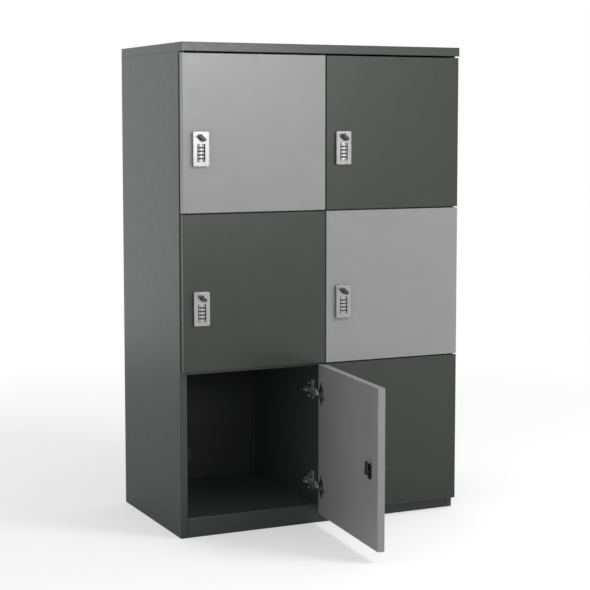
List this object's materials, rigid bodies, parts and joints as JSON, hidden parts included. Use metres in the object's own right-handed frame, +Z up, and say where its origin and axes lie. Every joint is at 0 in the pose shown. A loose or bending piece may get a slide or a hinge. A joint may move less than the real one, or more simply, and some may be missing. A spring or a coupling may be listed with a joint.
{
  "type": "locker cabinet",
  "caption": "Free-standing bank of small board lockers in two columns, each with a hinged door and a dial combination cam lock.",
  "frame": {"origin": "on the floor, under the middle of the carcass, on the underside of the plinth's centre brace", "axes": "+Z up, +Y to the back, +X to the right as seen from the front"},
  "size_m": [0.762, 0.807, 1.2],
  "materials": {
    "side_board": "satin dark grey laminate",
    "inner_board": "matt dark laminate",
    "plinth_board": "satin dark grey laminate",
    "light_door_board": "satin light grey laminate",
    "dark_door_board": "satin dark grey laminate",
    "lock_and_cup_metal": "satin silver die casting and nickel cups",
    "latch_metal": "dark satin",
    "dial_metal": "polished rims, dark number band",
    "hinge_steel": "nickel plated",
    "keeper_steel": "dark matt"
  },
  "bodies": {
    "carcass": {"side_panel_left": "side_board", "side_panel_right": "side_board", "top_panel": "side_board", "bottom_panel": "inner_board", "centre_divider": "inner_board", "back_panel": "inner_board", "shelves": "inner_board", "plinth_rails": "plinth_board", "hinge_plates": "hinge_steel", "hinge_arms": "hinge_steel", "keepers": "keeper_steel"},
    "door_low_left": {"door_panel_low_left": "light_door_board", "door_fittings_low_left": "lock_and_cup_metal"},
    "door_low_right": {"door_panel_low_right": "dark_door_board", "door_fittings_low_right": "lock_and_cup_metal"},
    "door_mid_left": {"door_panel_mid_left": "dark_door_board", "door_fittings_mid_left": "lock_and_cup_metal"},
    "door_mid_right": {"door_panel_mid_right": "light_door_board", "door_fittings_mid_right": "lock_and_cup_metal"},
    "door_top_left": {"door_panel_top_left": "light_door_board", "door_fittings_top_left": "lock_and_cup_metal"},
    "door_top_right": {"door_panel_top_right": "dark_door_board", "door_fittings_top_right": "lock_and_cup_metal"},
    "links_low_left": {"hinge_links_low_left": "hinge_steel"},
    "links_low_right": {"hinge_links_low_right": "hinge_steel"},
    "links_mid_left": {"hinge_links_mid_left": "hinge_steel"},
    "links_mid_right": {"hinge_links_mid_right": "hinge_steel"},
    "links_top_left": {"hinge_links_top_left": "hinge_steel"},
    "links_top_right": {"hinge_links_top_right": "hinge_steel"},
    "latch_low_left": {"latch_low_left": "latch_metal"},
    "latch_low_right": {"latch_low_right": "latch_metal"},
    "latch_mid_left": {"latch_mid_left": "latch_metal"},
    "latch_mid_right": {"latch_mid_right": "latch_metal"},
    "latch_top_left": {"latch_top_left": "latch_metal"},
    "latch_top_right": {"latch_top_right": "latch_metal"},
    "dial_low_left_1": {"dial_low_left_1": "dial_metal"},
    "dial_low_left_2": {"dial_low_left_2": "dial_metal"},
    "dial_low_left_3": {"dial_low_left_3": "dial_metal"},
    "dial_low_left_4": {"dial_low_left_4": "dial_metal"},
    "dial_low_right_1": {"dial_low_right_1": "dial_metal"},
    "dial_low_right_2": {"dial_low_right_2": "dial_metal"},
    "dial_low_right_3": {"dial_low_right_3": "dial_metal"},
    "dial_low_right_4": {"dial_low_right_4": "dial_metal"},
    "dial_mid_left_1": {"dial_mid_left_1": "dial_metal"},
    "dial_mid_left_2": {"dial_mid_left_2": "dial_metal"},
    "dial_mid_left_3": {"dial_mid_left_3": "dial_metal"},
    "dial_mid_left_4": {"dial_mid_left_4": "dial_metal"},
    "dial_mid_right_1": {"dial_mid_right_1": "dial_metal"},
    "dial_mid_right_2": {"dial_mid_right_2": "dial_metal"},
    "dial_mid_right_3": {"dial_mid_right_3": "dial_metal"},
    "dial_mid_right_4": {"dial_mid_right_4": "dial_metal"},
    "dial_top_left_1": {"dial_top_left_1": "dial_metal"},
    "dial_top_left_2": {"dial_top_left_2": "dial_metal"},
    "dial_top_left_3": {"dial_top_left_3": "dial_metal"},
    "dial_top_left_4": {"dial_top_left_4": "dial_metal"},
    "dial_top_right_1": {"dial_top_right_1": "dial_metal"},
    "dial_top_right_2": {"dial_top_right_2": "dial_metal"},
    "dial_top_right_3": {"dial_top_right_3": "dial_metal"},
    "dial_top_right_4": {"dial_top_right_4": "dial_metal"}
  },
  "joints": [
    {"name": "door_low_left_swing", "type": "hinge", "parent": "carcass", "child": "door_low_left", "pos_m": [-0.0015, -0.226, 0.218], "axis": [0, 0, 1], "range_deg": [-85, 5]},
    {"name": "door_low_right_swing", "type": "hinge", "parent": "carcass", "child": "door_low_right", "pos_m": [0.379, -0.226, 0.218], "axis": [0, 0, 1], "range_deg": [0, 90]},
    {"name": "door_mid_left_swing", "type": "hinge", "parent": "carcass", "child": "door_mid_left", "pos_m": [-0.0015, -0.226, 0.601], "axis": [0, 0, 1], "range_deg": [0, 90]},
    {"name": "door_mid_right_swing", "type": "hinge", "parent": "carcass", "child": "door_mid_right", "pos_m": [0.379, -0.226, 0.601], "axis": [0, 0, 1], "range_deg": [0, 90]},
    {"name": "door_top_left_swing", "type": "hinge", "parent": "carcass", "child": "door_top_left", "pos_m": [-0.0015, -0.226, 0.984], "axis": [0, 0, 1], "range_deg": [0, 90]},
    {"name": "door_top_right_swing", "type": "hinge", "parent": "carcass", "child": "door_top_right", "pos_m": [0.379, -0.226, 0.984], "axis": [0, 0, 1], "range_deg": [0, 90]},
    {"name": "links_low_left_turn", "type": "hinge", "parent": "carcass", "child": "links_low_left", "pos_m": [-0.02, -0.21336, 0.218], "axis": [0, 0, 1], "range_deg": [-77.35, 4.55]},
    {"name": "links_low_right_turn", "type": "hinge", "parent": "carcass", "child": "links_low_right", "pos_m": [0.3605, -0.21336, 0.218], "axis": [0, 0, 1], "range_deg": [0, 81.9]},
    {"name": "links_mid_left_turn", "type": "hinge", "parent": "carcass", "child": "links_mid_left", "pos_m": [-0.02, -0.21336, 0.601], "axis": [0, 0, 1], "range_deg": [0, 81.9]},
    {"name": "links_mid_right_turn", "type": "hinge", "parent": "carcass", "child": "links_mid_right", "pos_m": [0.3605, -0.21336, 0.601], "axis": [0, 0, 1], "range_deg": [0, 81.9]},
    {"name": "links_top_left_turn", "type": "hinge", "parent": "carcass", "child": "links_top_left", "pos_m": [-0.02, -0.21336, 0.984], "axis": [0, 0, 1], "range_deg": [0, 81.9]},
    {"name": "links_top_right_turn", "type": "hinge", "parent": "carcass", "child": "links_top_right", "pos_m": [0.3605, -0.21336, 0.984], "axis": [0, 0, 1], "range_deg": [0, 81.9]},
    {"name": "latch_low_left_turn", "type": "hinge", "parent": "door_low_left", "child": "latch_low_left", "pos_m": [-0.03052, -0.55773, 0.2075], "axis": [0.9962, -0.0872, 0], "range_deg": [0, 90]},
    {"name": "latch_low_right_turn", "type": "hinge", "parent": "door_low_right", "child": "latch_low_right", "pos_m": [0.046, -0.226, 0.2075], "axis": [0, -1, 0], "range_deg": [0, 90]},
    {"name": "latch_mid_left_turn", "type": "hinge", "parent": "door_mid_left", "child": "latch_mid_left", "pos_m": [-0.3345, -0.226, 0.5905], "axis": [0, -1, 0], "range_deg": [0, 90]},
    {"name": "latch_mid_right_turn", "type": "hinge", "parent": "door_mid_right", "child": "latch_mid_right", "pos_m": [0.046, -0.226, 0.5905], "axis": [0, -1, 0], "range_deg": [0, 90]},
    {"name": "latch_top_left_turn", "type": "hinge", "parent": "door_top_left", "child": "latch_top_left", "pos_m": [-0.3345, -0.226, 0.9735], "axis": [0, -1, 0], "range_deg": [0, 90]},
    {"name": "latch_top_right_turn", "type": "hinge", "parent": "door_top_right", "child": "latch_top_right", "pos_m": [0.046, -0.226, 0.9735], "axis": [0, -1, 0], "range_deg": [0, 90]},
    {"name": "dial_low_left_1_spin", "type": "hinge", "parent": "door_low_left", "child": "dial_low_left_1", "pos_m": [-0.03102, -0.55769, 0.18455], "axis": [0, 0, 1], "continuous": true},
    {"name": "dial_low_left_2_spin", "type": "hinge", "parent": "door_low_left", "child": "dial_low_left_2", "pos_m": [-0.03102, -0.55769, 0.17585], "axis": [0, 0, 1], "continuous": true},
    {"name": "dial_low_left_3_spin", "type": "hinge", "parent": "door_low_left", "child": "dial_low_left_3", "pos_m": [-0.03102, -0.55769, 0.16715], "axis": [0, 0, 1], "continuous": true},
    {"name": "dial_low_left_4_spin", "type": "hinge", "parent": "door_low_left", "child": "dial_low_left_4", "pos_m": [-0.03102, -0.55769, 0.15845], "axis": [0, 0, 1], "continuous": true},
    {"name": "dial_low_right_1_spin", "type": "hinge", "parent": "door_low_right", "child": "dial_low_right_1", "pos_m": [0.046, -0.2255, 0.18455], "axis": [0, 0, 1], "continuous": true},
    {"name": "dial_low_right_2_spin", "type": "hinge", "parent": "door_low_right", "child": "dial_low_right_2", "pos_m": [0.046, -0.2255, 0.17585], "axis": [0, 0, 1], "continuous": true},
    {"name": "dial_low_right_3_spin", "type": "hinge", "parent": "door_low_right", "child": "dial_low_right_3", "pos_m": [0.046, -0.2255, 0.16715], "axis": [0, 0, 1], "continuous": true},
    {"name": "dial_low_right_4_spin", "type": "hinge", "parent": "door_low_right", "child": "dial_low_right_4", "pos_m": [0.046, -0.2255, 0.15845], "axis": [0, 0, 1], "continuous": true},
    {"name": "dial_mid_left_1_spin", "type": "hinge", "parent": "door_mid_left", "child": "dial_mid_left_1", "pos_m": [-0.3345, -0.2255, 0.56755], "axis": [0, 0, 1], "continuous": true},
    {"name": "dial_mid_left_2_spin", "type": "hinge", "parent": "door_mid_left", "child": "dial_mid_left_2", "pos_m": [-0.3345, -0.2255, 0.55885], "axis": [0, 0, 1], "continuous": true},
    {"name": "dial_mid_left_3_spin", "type": "hinge", "parent": "door_mid_left", "child": "dial_mid_left_3", "pos_m": [-0.3345, -0.2255, 0.55015], "axis": [0, 0, 1], "continuous": true},
    {"name": "dial_mid_left_4_spin", "type": "hinge", "parent": "door_mid_left", "child": "dial_mid_left_4", "pos_m": [-0.3345, -0.2255, 0.54145], "axis": [0, 0, 1], "continuous": true},
    {"name": "dial_mid_right_1_spin", "type": "hinge", "parent": "door_mid_right", "child": "dial_mid_right_1", "pos_m": [0.046, -0.2255, 0.56755], "axis": [0, 0, 1], "continuous": true},
    {"name": "dial_mid_right_2_spin", "type": "hinge", "parent": "door_mid_right", "child": "dial_mid_right_2", "pos_m": [0.046, -0.2255, 0.55885], "axis": [0, 0, 1], "continuous": true},
    {"name": "dial_mid_right_3_spin", "type": "hinge", "parent": "door_mid_right", "child": "dial_mid_right_3", "pos_m": [0.046, -0.2255, 0.55015], "axis": [0, 0, 1], "continuous": true},
    {"name": "dial_mid_right_4_spin", "type": "hinge", "parent": "door_mid_right", "child": "dial_mid_right_4", "pos_m": [0.046, -0.2255, 0.54145], "axis": [0, 0, 1], "continuous": true},
    {"name": "dial_top_left_1_spin", "type": "hinge", "parent": "door_top_left", "child": "dial_top_left_1", "pos_m": [-0.3345, -0.2255, 0.95055], "axis": [0, 0, 1], "continuous": true},
    {"name": "dial_top_left_2_spin", "type": "hinge", "parent": "door_top_left", "child": "dial_top_left_2", "pos_m": [-0.3345, -0.2255, 0.94185], "axis": [0, 0, 1], "continuous": true},
    {"name": "dial_top_left_3_spin", "type": "hinge", "parent": "door_top_left", "child": "dial_top_left_3", "pos_m": [-0.3345, -0.2255, 0.93315], "axis": [0, 0, 1], "continuous": true},
    {"name": "dial_top_left_4_spin", "type": "hinge", "parent": "door_top_left", "child": "dial_top_left_4", "pos_m": [-0.3345, -0.2255, 0.92445], "axis": [0, 0, 1], "continuous": true},
    {"name": "dial_top_right_1_spin", "type": "hinge", "parent": "door_top_right", "child": "dial_top_right_1", "pos_m": [0.046, -0.2255, 0.95055], "axis": [0, 0, 1], "continuous": true},
    {"name": "dial_top_right_2_spin", "type": "hinge", "parent": "door_top_right", "child": "dial_top_right_2", "pos_m": [0.046, -0.2255, 0.94185], "axis": [0, 0, 1], "continuous": true},
    {"name": "dial_top_right_3_spin", "type": "hinge", "parent": "door_top_right", "child": "dial_top_right_3", "pos_m": [0.046, -0.2255, 0.93315], "axis": [0, 0, 1], "continuous": true},
    {"name": "dial_top_right_4_spin", "type": "hinge", "parent": "door_top_right", "child": "dial_top_right_4", "pos_m": [0.046, -0.2255, 0.92445], "axis": [0, 0, 1], "continuous": true}
  ],
  "couplings": [
    {"joint": "links_low_left_turn", "follows": "door_low_left_swing", "ratio": 0.91},
    {"joint": "links_low_right_turn", "follows": "door_low_right_swing", "ratio": 0.91},
    {"joint": "links_mid_left_turn", "follows": "door_mid_left_swing", "ratio": 0.91},
    {"joint": "links_mid_right_turn", "follows": "door_mid_right_swing", "ratio": 0.91},
    {"joint": "links_top_left_turn", "follows": "door_top_left_swing", "ratio": 0.91},
    {"joint": "links_top_right_turn", "follows": "door_top_right_swing", "ratio": 0.91}
  ]
}
